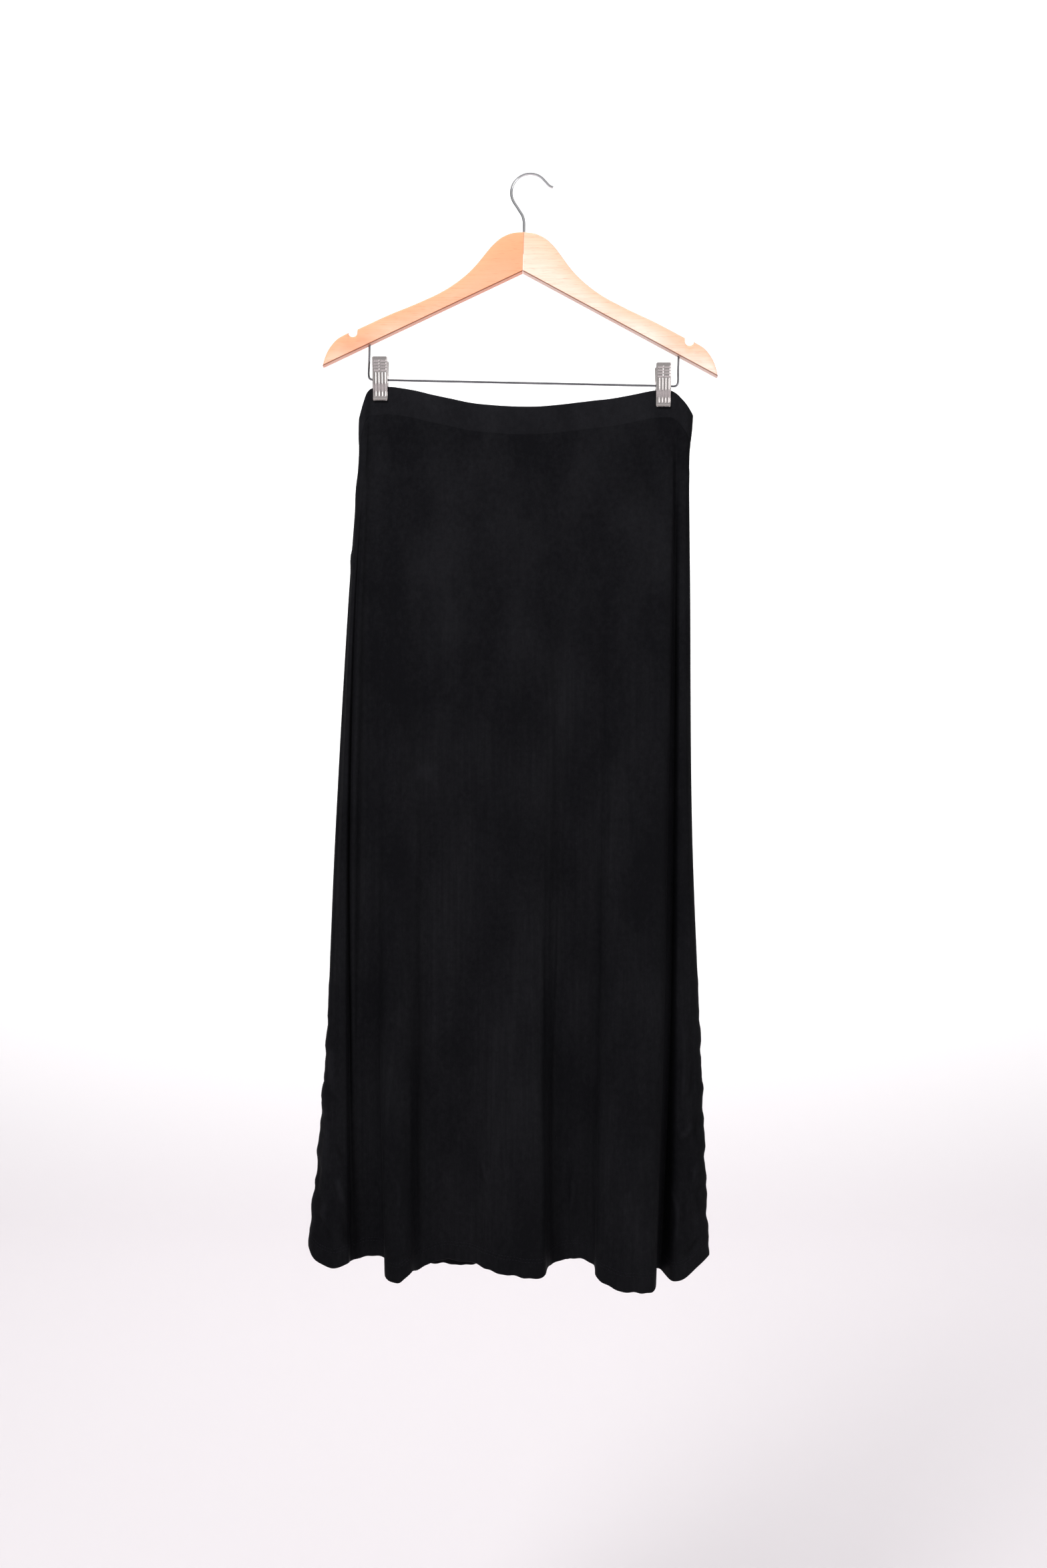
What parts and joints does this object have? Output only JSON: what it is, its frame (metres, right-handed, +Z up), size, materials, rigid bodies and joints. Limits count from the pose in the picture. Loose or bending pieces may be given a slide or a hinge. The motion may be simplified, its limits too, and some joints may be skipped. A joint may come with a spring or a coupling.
{
  "type": "maxi skirt on a clip hanger",
  "caption": "Long black A-line jersey skirt with an elastic waist, hanging by two metal clips from a wooden hanger with a wire hook.",
  "frame": {"origin": "inside top of the hanger's hook, where it hangs on a rail or nail", "axes": "+Z up along the skirt's length, the skirt's front faces -Y, +X is to the viewer's right"},
  "size_m": [0.4614, 0.0858, 1.2478],
  "materials": {
    "jersey": "fine black viscose jersey with a faint soft sheen",
    "casing": "the same jersey folded over elastic",
    "wood": "pale beech under clear satin lacquer",
    "chrome": "bright plated wire",
    "nickel": "bright plated sheet steel"
  },
  "bodies": {
    "root": {"waistband": "casing", "front_panel": "jersey", "back_panel": "jersey", "hanger_arm_left": "wood", "hanger_arm_right": "wood", "hanger_bar": "chrome", "hanger_hook": "chrome", "clip_left_front_plate": "nickel", "clip_left_rear_plate": "nickel", "clip_left_spring": "chrome", "clip_right_front_plate": "nickel", "clip_right_rear_plate": "nickel", "clip_right_spring": "chrome"}
  },
  "joints": []
}
